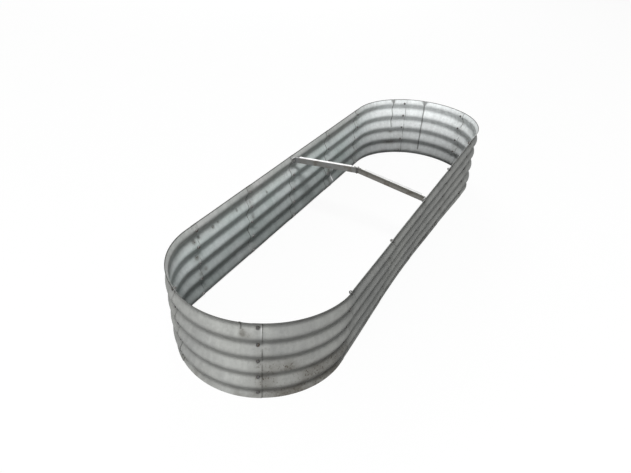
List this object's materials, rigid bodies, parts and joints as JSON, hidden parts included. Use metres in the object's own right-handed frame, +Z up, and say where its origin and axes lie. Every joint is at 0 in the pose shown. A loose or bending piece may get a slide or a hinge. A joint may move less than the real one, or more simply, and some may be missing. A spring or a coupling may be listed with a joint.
{
  "type": "raised garden bed",
  "caption": "Bottomless raised garden bed: a stadium-shaped ring of corrugated galvanised steel panels bolted at lapped seams, with a brace across the middle.",
  "frame": {"origin": "middle of the footprint, on the ground", "axes": "+X along the bed, +Y across it towards the left wall, +Z up"},
  "size_m": [2.007, 0.612, 0.3309],
  "materials": {
    "corrugated_sheet": "weathered galvanised, dull spangle",
    "brace_steel": "weathered galvanised, stained",
    "fasteners": "dull, slightly rusted zinc"
  },
  "bodies": {
    "root": {"brace_middle_bolts": "fasteners", "brace_middle_nuts": "fasteners", "far_end_panel": "corrugated_sheet", "far_left_corner_panel": "corrugated_sheet", "far_right_corner_panel": "corrugated_sheet", "far_seam_1_bolts": "fasteners", "far_seam_1_nuts": "fasteners", "far_seam_2_bolts": "fasteners", "far_seam_2_nuts": "fasteners", "left_brace_bar": "brace_steel", "left_seam_1_bolts": "fasteners", "left_seam_1_nuts": "fasteners", "left_seam_2_bolts": "fasteners", "left_seam_2_nuts": "fasteners", "left_seam_3_bolts": "fasteners", "left_seam_3_nuts": "fasteners", "left_seam_4_bolts": "fasteners", "left_seam_4_nuts": "fasteners", "left_seam_5_bolts": "fasteners", "left_seam_5_nuts": "fasteners", "left_wall_panel_1": "corrugated_sheet", "left_wall_panel_2": "corrugated_sheet", "left_wall_panel_3": "corrugated_sheet", "left_wall_panel_4": "corrugated_sheet", "near_end_panel": "corrugated_sheet", "near_left_corner_panel": "corrugated_sheet", "near_right_corner_panel": "corrugated_sheet", "near_seam_1_bolts": "fasteners", "near_seam_1_nuts": "fasteners", "near_seam_2_bolts": "fasteners", "near_seam_2_nuts": "fasteners", "right_brace_bar": "brace_steel", "right_seam_1_bolts": "fasteners", "right_seam_1_nuts": "fasteners", "right_seam_2_bolts": "fasteners", "right_seam_2_nuts": "fasteners", "right_seam_3_bolts": "fasteners", "right_seam_3_nuts": "fasteners", "right_seam_4_bolts": "fasteners", "right_seam_4_nuts": "fasteners", "right_seam_5_bolts": "fasteners", "right_seam_5_nuts": "fasteners", "right_wall_panel_1": "corrugated_sheet", "right_wall_panel_2": "corrugated_sheet", "right_wall_panel_3": "corrugated_sheet", "right_wall_panel_4": "corrugated_sheet"}
  },
  "joints": []
}
